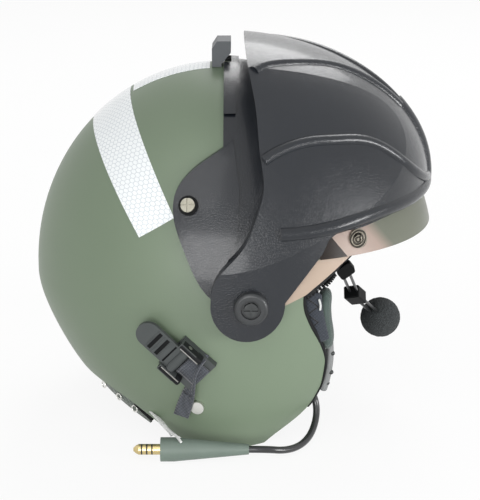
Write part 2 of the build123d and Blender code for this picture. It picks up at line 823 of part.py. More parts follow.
# Microphone boom: clamp under the edging, pin, arm of two wires, block, capsule and foam ball
slope = math.radians(boom_tilt)
clamp_plane = Plane(
    (boom_x, boom_y, boom_z),
    x_dir=(math.cos(slope), 0, math.sin(slope)),
    z_dir=(math.sin(slope), 0, -math.cos(slope)),
)
clamp_face = boom_y + clamp_width / 2
hub_face = clamp_face + clearance
with BuildPart() as boom_clamp:
    with Locations(clamp_plane):
        Box(clamp_length, clamp_width, clamp_height)
    fillet(boom_clamp.edges().filter_by(Axis.Y), clamp_height / 4)
    with Locations(Plane((boom_x, boom_y, boom_z), z_dir=(0, 1, 0))):
        standing(boom_pin_radius, clamp_width, mode=Mode.SUBTRACT)
finish(boom_clamp, "boom_clamp")

with BuildPart() as boom_pin:
    with Locations(Plane((boom_x, boom_y, boom_z), z_dir=(0, 1, 0))):
        standing(boom_pin_radius, hub_face + boom_hub_width + clearance - boom_y)
    with Locations(Plane((boom_x, hub_face + boom_hub_width + clearance, boom_z), z_dir=(0, 1, 0))):
        standing(boom_pin_radius * 2, boom_pin_radius)
finish(boom_pin, "boom_pin")

hub_middle = hub_face + boom_hub_width / 2
wire_foot_z = boom_z - boom_hub_radius + wire_radius
wire_runs = []
for share in (-0.5, 0.5):
    shift = share * wire_spacing
    wire_runs.append(
        (
            (boom_x + shift, hub_middle, wire_foot_z),
            (mic_block_x + shift, mic_block_y, mic_block_z),
            (foam_x + shift, foam_y, foam_z),
        )
    )
with BuildPart() as boom_arm:
    for run in wire_runs:
        add(rod(run, wire_radius))
    with Locations(Plane((boom_x, hub_face, boom_z), z_dir=(0, 1, 0))):
        standing(boom_hub_radius, boom_hub_width)
        standing(boom_pin_radius + running_fit, boom_hub_width, mode=Mode.SUBTRACT)
finish(boom_arm, "boom_arm")

boom_aim = Vector(foam_x, foam_y, foam_z) - Vector(mic_block_x, mic_block_y, mic_block_z)
mic_plane = Plane((mic_block_x, mic_block_y, mic_block_z), x_dir=(1, 0, 0), z_dir=boom_aim)
with BuildPart() as mic_block:
    with Locations(mic_plane):
        Box(mic_block_depth, mic_block_width, mic_block_length)
    fillet(mic_block.edges(), wire_radius)
    add(boom_arm.part, mode=Mode.SUBTRACT)
finish(mic_block, "microphone_block")

capsule_plane = Plane((foam_x, foam_y, foam_z), x_dir=(1, 0, 0), z_dir=boom_aim)
with BuildPart() as capsule:
    with Locations(capsule_plane):
        Cylinder(foam_radius / 2, foam_radius)
    add(boom_arm.part, mode=Mode.SUBTRACT)
finish(capsule, "microphone_capsule")

with BuildPart() as foam_ball:
    with Locations((foam_x, foam_y, foam_z)):
        Sphere(foam_radius)
    with Locations(capsule_plane):
        Cylinder(foam_radius / 2, foam_radius, mode=Mode.SUBTRACT)
    add(boom_arm.part, mode=Mode.SUBTRACT)
finish(foam_ball, "foam_windscreen")

# Nape strap buckle: base on the shell, hinge pin, thumb lever, and the tail of webbing
turn = math.radians(buckle_turn)
buckle = tangent_plane(buckle_x, buckle_z, -1, 0, x_dir=(math.cos(turn), 0, math.sin(turn)))
hinge_height = buckle_base_height + lever_barrel_radius + clearance * 2
cheek_middle = lever_width / 2 + clearance + cheek_width / 2
with BuildPart() as buckle_base:
    with Locations(buckle.location * Location((0, -buckle_length / 4, 0))):
        Box(buckle_width, buckle_length, 2 * buckle_base_height)
    with Locations(buckle.location * Location((0, 0, cheek_height / 2))):
        with Locations((-cheek_middle, 0, 0), (cheek_middle, 0, 0)):
            Box(cheek_width, cheek_length, cheek_height)
    with Locations(buckle.location * Location((0, 0, hinge_height), (0, 90, 0))):
        Cylinder(buckle_pin_radius, 2 * buckle_width, mode=Mode.SUBTRACT)
    add(seat_form, mode=Mode.SUBTRACT)
finish(buckle_base, "buckle_base")

with BuildPart() as buckle_pin:
    with Locations(buckle.location * Location((0, 0, hinge_height), (0, 90, 0))):
        Cylinder(buckle_pin_radius, buckle_width)
finish(buckle_pin, "buckle_pin")

with BuildPart() as lever:
    with Locations(buckle.location * Location((0, 0, hinge_height), (0, 90, 0))):
        Cylinder(lever_barrel_radius, lever_width)
    with BuildSketch(buckle.offset(hinge_height - lever_thickness / 2)):
        with Locations((0, (lever_length - lever_width / 2) / 2)):
            Rectangle(lever_width, lever_length - lever_width / 2)
        with Locations((0, lever_length - lever_width / 2)):
            Circle(lever_width / 2)
        with Locations(*[(0, lever_length * share) for share in lever_slot_shares]):
            SlotOverall(lever_slot_length, lever_slot_width, mode=Mode.SUBTRACT)
    extrude(amount=lever_thickness)
    with Locations(buckle.location * Location((0, 0, hinge_height), (0, 90, 0))):
        Cylinder(buckle_pin_radius + running_fit, 2 * lever_width, mode=Mode.SUBTRACT)
finish(lever, "buckle_lever")

near_half = half_space(-1)
with BuildPart() as webbing:
    add(head_form(clearance + web_thickness))
    add(seat_form, mode=Mode.SUBTRACT)
    add(side_prism(at_shares(web_edge_shares)), mode=Mode.INTERSECT)
    add(near_half, mode=Mode.INTERSECT)
    add(buckle_base.part, mode=Mode.SUBTRACT)
finish(webbing, "webbing_tail")

with BuildPart() as stud:
    with Locations(tangent_plane(stud_x, stud_z, -1, -stud_height)):
        standing(stud_radius, 2 * stud_height)
    add(seat_form, mode=Mode.SUBTRACT)
finish(stud, "snap_stud")

# Nape strap with its eyelets
with BuildPart() as nape_strap:
    add(foam_form)
    add(head_form(-shell_wall - clearance - nape_strap_thickness), mode=Mode.SUBTRACT)
    add(side_prism(at_shares(nape_strap_edge_shares)), mode=Mode.INTERSECT)
    for x, z in at_shares(eyelet_shares):
        with Locations(Plane((x, 0, z), z_dir=(0, 1, 0))):
            Cylinder(eyelet_radius, 4 * half_length, mode=Mode.SUBTRACT)
finish(nape_strap, "nape_strap")

# Chin strap folded inside the lobes, its studs and its buckle
with BuildPart() as chin_strap:
    with BuildSketch(Plane.YZ.offset(chin_strap_x)):
        with Locations((0, chin_strap_top_z)):
            RectangleRounded(
                2 * chin_strap_half_span, 2 * (chin_strap_top_z - chin_strap_low_z), chin_strap_round
            )
            RectangleRounded(
                2 * (chin_strap_half_span - chin_strap_thickness),
                2 * (chin_strap_top_z - chin_strap_low_z - chin_strap_thickness),
                chin_strap_round - chin_strap_thickness,
                mode=Mode.SUBTRACT,
            )
    extrude(amount=chin_strap_width)
    split(bisect_by=Plane.XY.offset(chin_strap_top_z), keep=Keep.BOTTOM)
finish(chin_strap, "chin_strap")

chin_stud_x = chin_strap_x + chin_strap_width / 2
chin_stud_z = chin_strap_top_z - chin_stud_radius
with BuildPart() as chin_studs:
    for side in (-1, 1):
        with Locations(
            Plane((chin_stud_x, side * chin_strap_half_span, chin_stud_z), z_dir=(0, side, 0))
        ):
            standing(chin_stud_radius, shell_half_width - chin_strap_half_span)
    add(inner_form, mode=Mode.INTERSECT)
finish(chin_studs, "chin_strap_studs")

with BuildPart() as chin_buckle:
    with Locations((chin_strap_x + chin_strap_width / 2, 0, chin_buckle_height / 2)):
        Box(chin_strap_width + 2 * chin_strap_thickness, chin_buckle_length, chin_buckle_height)
    add(chin_strap.part, mode=Mode.SUBTRACT)
finish(chin_buckle, "chin_strap_buckle")

# Communication cord: relief in the lobe, cord, sleeve and four-pole plug
route = [Vector(*point) for point in cord_route]
radii = []
for before, corner, after in zip(route, route[1:], route[2:]):
    half_turn = math.radians((corner - before).get_angle(after - corner)) / 2
    shorter = min((corner - before).length, (after - corner).length)
    radii.append(cord_bend_share * shorter / math.tan(half_turn))
print("cord radii", [round(radius, 1) for radius in radii])
with BuildPart() as cord:
    with BuildLine() as cord_path:
        FilletPolyline(*route, radius=radii)
    with BuildSketch(Plane(route[0], z_dir=route[1] - route[0])):
        Circle(cord_radius)
    sweep()
run_length = sum(edge.length for edge in cord_path.line.edges())
print("cord volume", cord.part.volume, "section times length", math.pi * cord_radius**2 * run_length)
finish(cord, "cord")

relief_plane = Plane(route[0], z_dir=route[0] - route[1])
with BuildPart() as relief:
    with Locations(relief_plane):
        Cone(
            relief_thin_radius, relief_radius, relief_length, align=(Align.CENTER, Align.CENTER, Align.MIN)
        )
    with Locations(relief_plane.offset(relief_length / 2).origin + Vector(0, -lug_width / 2, 0)):
        Box(lug_length, lug_width, relief_thin_radius)
    add(inner_form, mode=Mode.INTERSECT)
finish(relief, "cord_relief")

plug_axis = Axis((0, plug_y, plug_z), (1, 0, 0))
plug_plane = Plane((0, plug_y, plug_z), x_dir=(1, 0, 0), z_dir=(0, -1, 0))
collar_x = plug_shoulder_x + collar_length
with BuildPart() as sleeve:
    with BuildSketch(plug_plane):
        with BuildLine():
            Polyline(
                (plug_shoulder_x, 0),
                (plug_shoulder_x, sleeve_thick_radius),
                (collar_x, sleeve_thick_radius),
                (sleeve_end_x, sleeve_thin_radius),
                (sleeve_end_x, 0),
                close=True,
            )
        make_face()
    revolve(axis=plug_axis)
finish(sleeve, "plug_sleeve")

plug_length = plug_shoulder_x - plug_tip_x
with BuildPart() as insulators:
    for share in insulator_shares:
        ring_x = plug_tip_x + share * plug_length
        with Locations(Plane((ring_x, plug_y, plug_z), z_dir=(1, 0, 0))):
            standing(plug_radius, insulator_width)
            standing(plug_radius - insulator_depth, insulator_width, mode=Mode.SUBTRACT)
finish(insulators, "plug_insulators")
with BuildPart() as contacts:
    with BuildSketch(plug_plane):
        with BuildLine():
            Polyline(
                (plug_tip_x, 0),
                (plug_tip_x, plug_nose_radius),
                (plug_tip_x + plug_tip_length / 2, plug_brow_radius),
                (plug_tip_x + plug_tip_length, plug_radius),
                (plug_shoulder_x, plug_radius),
                (plug_shoulder_x, 0),
                close=True,
            )
        make_face()
    revolve(axis=plug_axis)
    add(insulators.part, mode=Mode.SUBTRACT)
finish(contacts, "plug_contacts")
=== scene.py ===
import json
import math
import random

import bmesh
import bpy
from mathutils import Matrix, Vector


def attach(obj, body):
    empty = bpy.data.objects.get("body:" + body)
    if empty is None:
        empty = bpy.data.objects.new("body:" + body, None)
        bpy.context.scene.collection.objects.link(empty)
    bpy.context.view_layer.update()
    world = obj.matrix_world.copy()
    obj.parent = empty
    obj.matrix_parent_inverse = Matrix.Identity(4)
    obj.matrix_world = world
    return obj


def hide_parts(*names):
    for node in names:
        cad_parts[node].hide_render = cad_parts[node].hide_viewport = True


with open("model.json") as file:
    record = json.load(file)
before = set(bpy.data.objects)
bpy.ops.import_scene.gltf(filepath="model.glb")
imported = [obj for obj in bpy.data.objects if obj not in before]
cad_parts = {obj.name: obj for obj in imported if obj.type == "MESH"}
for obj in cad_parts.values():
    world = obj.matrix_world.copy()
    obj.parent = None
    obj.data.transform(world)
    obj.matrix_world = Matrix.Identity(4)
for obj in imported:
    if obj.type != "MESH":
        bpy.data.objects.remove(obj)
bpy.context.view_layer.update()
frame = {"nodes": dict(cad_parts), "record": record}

MM = 0.001
HELMET = "helmet"

# Sizes and places shared with the helmet's construction, in millimetres
SHELL_WIDEST_Z, SHELL_HALF_WIDTH = 100.0, 112.0
TAPE_SLANT = math.radians(62.0)
CORD_DIAMETER = 4.8
CORD_ROUTE = (
    (50.0, -82.7, 40.0), (55.0, -75.5, 28.0), (57.5, -78.0, 18.0), (56.0, -86.0, 10.0), (51.5, -96.5, 4.6),
    (44.0, -107.5, 2.9), (34.0, -116.5, 4.4), (22.5, -122.0, 8.0), (10.4, -122.0, 8.0),
)


def metres(point):
    """A point given in millimetres, in metres."""
    return Vector(point) * MM


def paint(red, green, blue):
    """A colour given as screen values from 0 to 255, as the shader's linear colour."""
    tones = [tone / 255 for tone in (red, green, blue)]
    return tuple(t / 12.92 if t <= 0.04045 else ((t + 0.055) / 1.055) ** 2.4 for t in tones) + (1.0,)


# Shader maths
class Value:
    """A shader's output socket that Python sums and products can use."""

    def __init__(self, finish, socket):
        self.finish = finish
        self.socket = socket

    def maths(self, operation, first, second=0.0):
        return self.finish.node("ShaderNodeMath", {"operation": operation}, {0: first, 1: second})

    def __add__(self, other):
        return self.maths("ADD", self, other)

    def __radd__(self, other):
        return self.maths("ADD", other, self)

    def __sub__(self, other):
        return self.maths("SUBTRACT", self, other)

    def __rsub__(self, other):
        return self.maths("SUBTRACT", other, self)

    def __mul__(self, other):
        return self.maths("MULTIPLY", self, other)

    def __rmul__(self, other):
        return self.maths("MULTIPLY", other, self)

    def remainder(self, step):
        """What is left past whole steps."""
        return self.maths("FLOORED_MODULO", self, step)

    def angle_from(self, other):
        """The angle, in radians, whose sides across and along are this value and the other."""
        return self.maths("ARCTAN2", self, other)

    def above(self, level):
        return self.maths("GREATER_THAN", self, level)

    def below(self, level):
        return self.maths("LESS_THAN", self, level)

    def wave(self):
        return self.maths("SINE", self)

    def size(self):
        return self.maths("ABSOLUTE", self)

    def least(self, other):
        return self.maths("MINIMUM", self, other)

    def most(self, other):
        return self.maths("MAXIMUM", self, other)

    def root(self):
        return self.maths("SQRT", self)


class Finish:
    """A material under the hands of its maker."""

    def __init__(self, name, **sockets):
        self.material = bpy.data.materials.new(name)
        self.material.use_nodes = True
        self.tree = self.material.node_tree
        self.surface = self.tree.nodes["Principled BSDF"]
        for socket, value in sockets.items():
            self.surface.inputs[socket.replace("_", " ")].default_value = value

    def node(self, kind, settings=None, sockets=None, output=0):
        """Any node: its settings first, then the values or links of its sockets."""
        made = self.tree.nodes.new(kind)
        for name, value in (settings or {}).items():
            setattr(made, name, value)
        for name, value in (sockets or {}).items():
            if isinstance(value, Value):
                self.tree.links.new(value.socket, made.inputs[name])
            else:
                made.inputs[name].default_value = value
        return Value(self, made.outputs[output])

    def place(self):
        """Where a point is on the piece, in metres."""
        return self.node("ShaderNodeTexCoord", output="Object")

    def along(self, axis):
        """One coordinate of the piece, in millimetres."""
        return self.node("ShaderNodeSeparateXYZ", None, {0: self.place()}, axis) * 1000.0

    def noise(self, scale, detail=3.0, rough=0.5):
        """Cloudy noise with so many features to a metre."""
        sockets = {"Vector": self.place(), "Scale": scale, "Detail": detail, "Roughness": rough}
        return self.node("ShaderNodeTexNoise", None, sockets)

    def cells(self, scale, feature="F1"):
        """Distance to scattered cells, so many to a metre, or to the edges between them."""
        sockets = {"Vector": self.place(), "Scale": scale}
        return self.node("ShaderNodeTexVoronoi", {"feature": feature}, sockets)

    def mix(self, factor, first, second):
        """Two colours mixed by a value."""
        return self.node("ShaderNodeMix", {"data_type": "RGBA"}, {0: factor, 6: first, 7: second}, 2)

    def set(self, **links):
        """What changes over the surface."""
        for socket, value in links.items():
            self.tree.links.new(value.socket, self.surface.inputs[socket.replace("_", " ")])
        return self

    def bump(self, height, depth):
        """Relief of a depth in metres."""
        return self.set(Normal=self.node("ShaderNodeBump", None, {"Height": height, "Distance": depth}))


def tinted(finish, first, second, scale, detail=3.0):
    """Base colour that wanders between two close tones."""
    return finish.set(Base_Color=finish.mix(finish.noise(scale, detail), first, second))


# Materials, one function for each kind of surface
def shell_paint():
    """Satin paint over a laminated shell."""
    finish = Finish("shell_paint", Roughness=0.46, Coat_Weight=0.12, Coat_Roughness=0.35)
    tinted(finish, paint(104, 119, 98), paint(113, 128, 107), 9.0)
    return finish.bump(finish.noise(1500.0, 2.0), 0.00006)


def cover_moulding():
    """Leather-like grain: small cells with creases between them."""
    finish = Finish(
        "cover_moulding", Roughness=0.26, Coat_Weight=0.35, Coat_Roughness=0.14, Specular_IOR_Level=0.36
    )
    grain = finish.cells(640.0, "DISTANCE_TO_EDGE").least(0.22)
    tinted(finish, paint(17, 21, 27), paint(27, 31, 37), 14.0)
    return finish.bump(grain + finish.noise(1700.0, 2.0) * 0.12, 0.0003)


TAPE_CELL, TAPE_SEAL_FROM = 3.3, 0.44


def reflective_tape(name, across, along):
    """White sheet whose cells are sealed along a honeycomb. Across and along are in millimetres."""
    finish = Finish(name, Roughness=0.22, Coat_Weight=0.6, Coat_Roughness=0.08)
    cell, row = TAPE_CELL, TAPE_CELL * math.sqrt(3)
    sides, far = across(finish), along(finish)
    first = ((sides.remainder(cell) - cell / 2).size(), (far.remainder(row) - row / 2).size())
    second = (
        ((sides - cell / 2).remainder(cell) - cell / 2).size(),
        ((far - row / 2).remainder(row) - row / 2).size(),
    )
    reach = [side.most(side * 0.5 + up * (math.sqrt(3) / 2)) for side, up in (first, second)]
    seal = reach[0].least(reach[1]).above(cell * TAPE_SEAL_FROM)
    beads = finish.cells(1900.0)
    white = finish.mix(beads, paint(250, 253, 252), paint(232, 237, 240))
    finish.set(Base_Color=finish.mix(seal, white, paint(204, 210, 215)))
    return finish.bump(seal * -1.0 + beads * 0.2, 0.00005)


def band_across(finish):
    """Distance across the cross band, which stands at a slant to the crown."""
    return finish.along("X") * math.sin(TAPE_SLANT) + finish.along("Z") * math.cos(TAPE_SLANT)


def band_along(finish):
    """Distance over the crown, from side to side."""
    return (finish.along("Z") - SHELL_WIDEST_Z).angle_from(finish.along("Y")) * SHELL_HALF_WIDTH


def woven(name, dark, light, pitch):
    """Plain weave: threads over and under each other, turning by so many radians to a millimetre."""
    finish = Finish(name, Roughness=0.85, Sheen_Weight=0.25)
    warp = (finish.along("X") * pitch).wave()
    weft = (finish.along("Z") * pitch).wave()
    fill = (finish.along("Y") * pitch).wave()
    weave = warp * weft + fill * 0.5
    cloudy = finish.noise(60.0) * 0.6 + weave * 0.3
    finish.set(Base_Color=finish.mix(cloudy, dark, light))
    return finish.bump(weave, 0.00018)


def foam(name, dark, light, pores):
    """Open foam with so many pores to a metre."""
    finish = Finish(name, Roughness=0.95)
    pore = finish.cells(pores)
    finish.set(Base_Color=finish.mix(pore, dark, light))
    return finish.bump(pore, 0.0005)


def leather(name, dark, light):
    """Leather or leatherette with fine creases."""
    finish = Finish(name, Roughness=0.5, Coat_Weight=0.08)
    crease = finish.cells(900.0, "DISTANCE_TO_EDGE").least(0.3)
    finish.set(Base_Color=finish.mix(finish.noise(40.0), dark, light))
    return finish.bump(crease, 0.0002)


def moulded(name, dark, light, rough, **sockets):
    """Plain moulded plastic or rubber with a fine satin skin."""
    finish = Finish(name, Roughness=rough, **sockets)
    tinted(finish, dark, light, 35.0)
    return finish.bump(finish.noise(900.0, 2.0), 0.00005)


def metal(name, dark, light, rough, worn=0.25):
    """Plated or blackened metal with light scuffs."""
    finish = Finish(name, Metallic=1.0)
    scuff = finish.noise(260.0, 5.0, 0.7)
    finish.set(Base_Color=finish.mix(scuff, dark, light), Roughness=scuff * worn + rough)
    return finish.bump(scuff, 0.00004)


def lens(name, tone, alpha, rough):
    """Hard-coated lens with a little haze."""
    finish = Finish(name, Base_Color=tone, Roughness=rough, Specular_IOR_Level=0.16)
    haze = finish.noise(30.0, 2.0)
    return finish.set(Alpha=haze * 0.06 + alpha)


# Painted light and shade on the sun visor, in millimetres: a point on the front edge of the dark wedge, which
# is the cover's painted shadow, the direction across it, its width, and where the peach area with its painted
# lit patch ends and how much of it fades to a millimetre
SHADOW_WEDGE_X, SHADOW_WEDGE_Z = 66.8, 144.7
SHADOW_WEDGE_ACROSS_X, SHADOW_WEDGE_ACROSS_Z = 0.782, 0.624
SHADOW_WEDGE_WIDTH = 14.0
LIT_PEACH_END, LIT_PEACH_FADE = 26.0, 0.14


def lens_with_painted_light_and_shadow():
    """Smoke lens: by its button the inner lens shows through as peach, brightened by a painted lit patch, and
    behind that area a dark wedge is the cover's painted shadow.
    """
    finish = lens("smoke_lens", paint(118, 120, 109), 0.86, 0.30)
    aside = (finish.along("X") - SHADOW_WEDGE_X) * SHADOW_WEDGE_ACROSS_X
    past_shadow_edge = aside + (finish.along("Z") - SHADOW_WEDGE_Z) * SHADOW_WEDGE_ACROSS_Z
    # Peach where the inner lens shows through, lightened by a painted lit patch that fades out forward
    glow = ((LIT_PEACH_END - past_shadow_edge) * LIT_PEACH_FADE).least(1.0).most(0.0) * past_shadow_edge.above(0.0)
    # Dark wedge: the cover's shadow, painted on the lens
    painted_shadow = past_shadow_edge.below(0.0) * past_shadow_edge.above(-SHADOW_WEDGE_WIDTH)
    smoke = finish.mix(finish.noise(25.0), paint(108, 111, 100), paint(116, 119, 107))
    peach_and_painted_light = finish.mix(glow, smoke, paint(164, 146, 136))
    return finish.set(Base_Color=finish.mix(painted_shadow, peach_and_painted_light, paint(34, 26, 21)))


BUTTON_X, BUTTON_Z = 81.3, 145.7
RING_RADIANS_PER_MM = 3.4


def ringed_button():
    """Turned button with rings round its middle."""
    finish = Finish("lens_button", Roughness=0.34, Metallic=0.5)
    aside, up = finish.along("X") - BUTTON_X, finish.along("Z") - BUTTON_Z
    rings = ((aside * aside + up * up).root() * RING_RADIANS_PER_MM).wave()
    finish.set(Base_Color=finish.mix(rings.above(0.1), paint(52, 48, 43), paint(132, 126, 114)))
    return finish.bump(rings, 0.0003)


QUILT_WEAVE = 2.6
SEAM_STEP, SEAM_LEAN, SEAM_FRONT_X, SEAM_HALF_WIDTH = 11.0, 1.3, 49.0, 0.7


def quilted(name, dark, light):
    """Woven cover with a zigzag seam sewn through it."""
    finish = Finish(name, Roughness=0.8, Sheen_Weight=0.2)
    weave = (finish.along("X") * QUILT_WEAVE).wave() * (finish.along("Z") * QUILT_WEAVE).wave()
    zigzag = (finish.along("Z").remainder(SEAM_STEP) - SEAM_STEP / 2).size() * SEAM_LEAN + SEAM_FRONT_X
    seam = (finish.along("X") - zigzag).size().below(SEAM_HALF_WIDTH)
    cloth = finish.mix(weave * 0.3 + 0.5, dark, light)
    finish.set(Base_Color=finish.mix(seam, cloth, paint(9, 10, 12)))
    return finish.bump(weave * 0.3 - seam, 0.0005)


BLACK, NEAR_BLACK, COAL = paint(24, 25, 26), paint(33, 35, 37), paint(44, 47, 49)
finishes = {
    "shell_paint": shell_paint(),
    "black_edging": moulded(
        "black_edging", paint(16, 17, 18), paint(25, 26, 28), 0.6, Specular_IOR_Level=0.2
    ),
    "liner_foam": foam("liner_foam", paint(40, 43, 46), paint(58, 62, 65), 420.0),
    "comfort_pad": woven("comfort_pad", paint(70, 74, 75), paint(104, 110, 109), 1.9),
    "cover_moulding": cover_moulding(),
    "boss_moulding": moulded("boss_moulding", NEAR_BLACK, COAL, 0.38, Coat_Weight=0.15),
    "dark_screw": metal("dark_screw", paint(48, 49, 50), paint(88, 90, 90), 0.32),
    "plated_pin": metal("plated_pin", paint(130, 130, 128), paint(176, 175, 170), 0.30),
    "rubber_grommet": moulded(
        "rubber_grommet", paint(10, 11, 12), paint(18, 19, 20), 0.65, Specular_IOR_Level=0.15
    ),
    "bright_screw": metal("bright_screw", paint(118, 116, 106), paint(168, 165, 152), 0.28),
    "reflective_tape": reflective_tape("reflective_tape", band_across, band_along),
    "cover_clip": moulded("cover_clip", paint(60, 64, 68), paint(74, 79, 84), 0.45),
    "smoke_lens": lens_with_painted_light_and_shadow(),
    "clear_lens": lens("clear_lens", paint(186, 167, 151), 0.78, 0.34),
    "lens_button": ringed_button(),
    "boom_wire": moulded("boom_wire", BLACK, NEAR_BLACK, 0.35, Coat_Weight=0.3),
    "microphone_black": moulded(
        "microphone_black", paint(6, 7, 7), paint(15, 16, 17), 0.6, Specular_IOR_Level=0.12
    ),
    "windscreen_foam": foam("windscreen_foam", paint(30, 32, 33), paint(66, 70, 71), 1100.0),
    "buckle_metal": moulded("buckle_metal", paint(58, 62, 62), paint(82, 86, 86), 0.42, Metallic=0.35),
    "webbing": woven("webbing", paint(54, 57, 63), paint(88, 92, 99), 2.6),
    "stud_metal": metal("stud_metal", paint(206, 205, 200), paint(244, 243, 238), 0.18),
    "strap_cloth": woven("strap_cloth", paint(84, 94, 86), paint(112, 123, 112), 2.2),
    "strap_buckle": moulded("strap_buckle", BLACK, NEAR_BLACK, 0.4),
    "cord_rubber": moulded("cord_rubber", BLACK, NEAR_BLACK, 0.3, Coat_Weight=0.4, Coat_Roughness=0.12),
    "sleeve_rubber": moulded("sleeve_rubber", paint(94, 106, 98), paint(117, 132, 122), 0.48),
    "plug_gold": metal("plug_gold", paint(190, 170, 118), paint(226, 208, 156), 0.20, worn=0.15),
    "plug_rings": moulded("plug_rings", BLACK, NEAR_BLACK, 0.3),
    "seal_leather": leather("seal_leather", paint(44, 46, 48), paint(66, 69, 71)),
    "cup_moulding": moulded("cup_moulding", NEAR_BLACK, COAL, 0.5),
}


def skin(slot):
    """The material of a slot."""
    return finishes[slot].material


quilt_finish = quilted("quilted_cover", paint(34, 39, 47), paint(52, 58, 67))
roll_finish = woven("roll_cover", paint(58, 72, 68), paint(76, 92, 86), 5.0)
lining_finish = leather("pale_lining", paint(112, 114, 114), paint(136, 138, 138))
lace_finish = woven("lace_cotton", paint(214, 216, 214), paint(240, 241, 240), 5.0)
strip_finish = reflective_tape(
    "reflective_strip", lambda finish: finish.along("Y"), lambda finish: finish.along("X")
)

# The construction's own pieces get their finishes
slots = {row["node"]: row["material_slot"] for row in frame["record"]["subparts"]}
for name, node in frame["nodes"].items():
    node.data.materials.clear()
    node.data.materials.append(skin(slots[name]))
frame["nodes"]["reflective_crown_strip"].data.materials[0] = strip_finish.material

# Camera, as the photograph was taken: square to the helmet's near side and a little above it
CAMERA_X, CAMERA_AIM_Z = 4.5, 107.0
CAMERA_DISTANCE, CAMERA_ELEVATION = 1050.0, math.radians(18.0)
FRAME_HEIGHT_PX, FOCAL_PX = 500.0, 1458.0
camera_data = bpy.data.cameras.new("camera")
camera = bpy.data.objects.new("camera", camera_data)
bpy.context.scene.collection.objects.link(camera)
bpy.context.scene.camera = camera
camera.location = metres(
    (
        CAMERA_X,
        -CAMERA_DISTANCE * math.cos(CAMERA_ELEVATION),
        CAMERA_AIM_Z + CAMERA_DISTANCE * math.sin(CAMERA_ELEVATION),
    )
)
camera.rotation_euler = (math.pi / 2 - CAMERA_ELEVATION, 0, 0)
camera_data.lens = camera_data.sensor_width * FOCAL_PX / FRAME_HEIGHT_PX


# Floor and world: white to the camera and in reflections, with the helmet's shadow on the floor
FLOOR_SIZE = 12.0
SHADOW_SHARE = 0.11


def white_ground():
    """A floor that is mostly plain white and keeps a share of its shadow."""
    ground = Finish("floor", Base_Color=(0.96, 0.96, 0.96, 1.0), Roughness=0.9)
    tree = ground.tree
    paths = tree.nodes.new("ShaderNodeLightPath")
    glow = tree.nodes.new("ShaderNodeEmission")
    camera_ray, glossy_ray, through_ray = (
        Value(ground, paths.outputs[name])
        for name in ("Is Camera Ray", "Is Glossy Ray", "Is Transmission Ray")
    )
    share = camera_ray.most(glossy_ray).most(through_ray) * (1.0 - SHADOW_SHARE)
    lit, white = Value(ground, ground.surface.outputs[0]), Value(ground, glow.outputs[0])
    mixed = ground.node("ShaderNodeMixShader", None, {0: share, 1: lit, 2: white})
    tree.links.new(mixed.socket, tree.nodes["Material Output"].inputs["Surface"])
    return ground.material


floor_mesh = bpy.data.meshes.new("floor")
sheet = bmesh.new()
bmesh.ops.create_grid(sheet, x_segments=1, y_segments=1, size=FLOOR_SIZE / 2)
sheet.to_mesh(floor_mesh)
sheet.free()
floor = bpy.data.objects.new("floor", floor_mesh)
bpy.context.scene.collection.objects.link(floor)
floor_mesh.materials.append(white_ground())

world = bpy.data.worlds.new("studio")
bpy.context.scene.world = world
world.use_nodes = True
world_tree = world.node_tree
world_tree.nodes.clear()
room_light = world_tree.nodes.new("ShaderNodeBackground")
room_light.inputs["Strength"].default_value = 0.62
white_room = world_tree.nodes.new("ShaderNodeBackground")
white_room.inputs["Color"].default_value = (1.0, 1.0, 1.0, 1.0)
white_room.inputs["Strength"].default_value = 1.0
rays = world_tree.nodes.new("ShaderNodeLightPath")
any_view = world_tree.nodes.new("ShaderNodeMath")
any_view.operation = "MAXIMUM"
seen_or_through = world_tree.nodes.new("ShaderNodeMath")
seen_or_through.operation = "MAXIMUM"
choose = world_tree.nodes.new("ShaderNodeMixShader")
world_out = world_tree.nodes.new("ShaderNodeOutputWorld")
world_tree.links.new(rays.outputs["Is Camera Ray"], any_view.inputs[0])
world_tree.links.new(rays.outputs["Is Glossy Ray"], any_view.inputs[1])
world_tree.links.new(any_view.outputs[0], seen_or_through.inputs[0])
world_tree.links.new(rays.outputs["Is Transmission Ray"], seen_or_through.inputs[1])
world_tree.links.new(seen_or_through.outputs[0], choose.inputs[0])
world_tree.links.new(room_light.outputs[0], choose.inputs[1])
world_tree.links.new(white_room.outputs[0], choose.inputs[2])
world_tree.links.new(choose.outputs[0], world_out.inputs[0])


def lamp(name, place, aim, size, power):
    """A square soft light that faces a point."""
    data = bpy.data.lights.new(name, "AREA")
    data.size = size
    data.energy = power
    made = bpy.data.objects.new(name, data)
    bpy.context.scene.collection.objects.link(made)
    made.location = place
    made.visible_camera = False
    made.rotation_euler = (Vector(aim) - Vector(place)).to_track_quat("-Z", "Y").to_euler()


# Lamps: name, place and aim in metres, size and power
AIM = (0.0, 0.0, 0.12)
lamp("key", (-0.5, -1.4, 1.5), AIM, 1.1, 6.0)
lamp("front", (1.45, -0.86, 0.17), AIM, 0.6, 19.0)
lamp("low", (-0.2, -1.7, 0.15), AIM, 0.9, 17.0)
lamp("back", (0.4, 1.3, 1.5), AIM, 1.0, 14.0)


def give(piece, body, slot=None, *nodes):
    """A finished piece rides on its body and stands for the solids that it replaces."""
    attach(piece, body)
    if nodes:
        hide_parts(*nodes)
    return piece


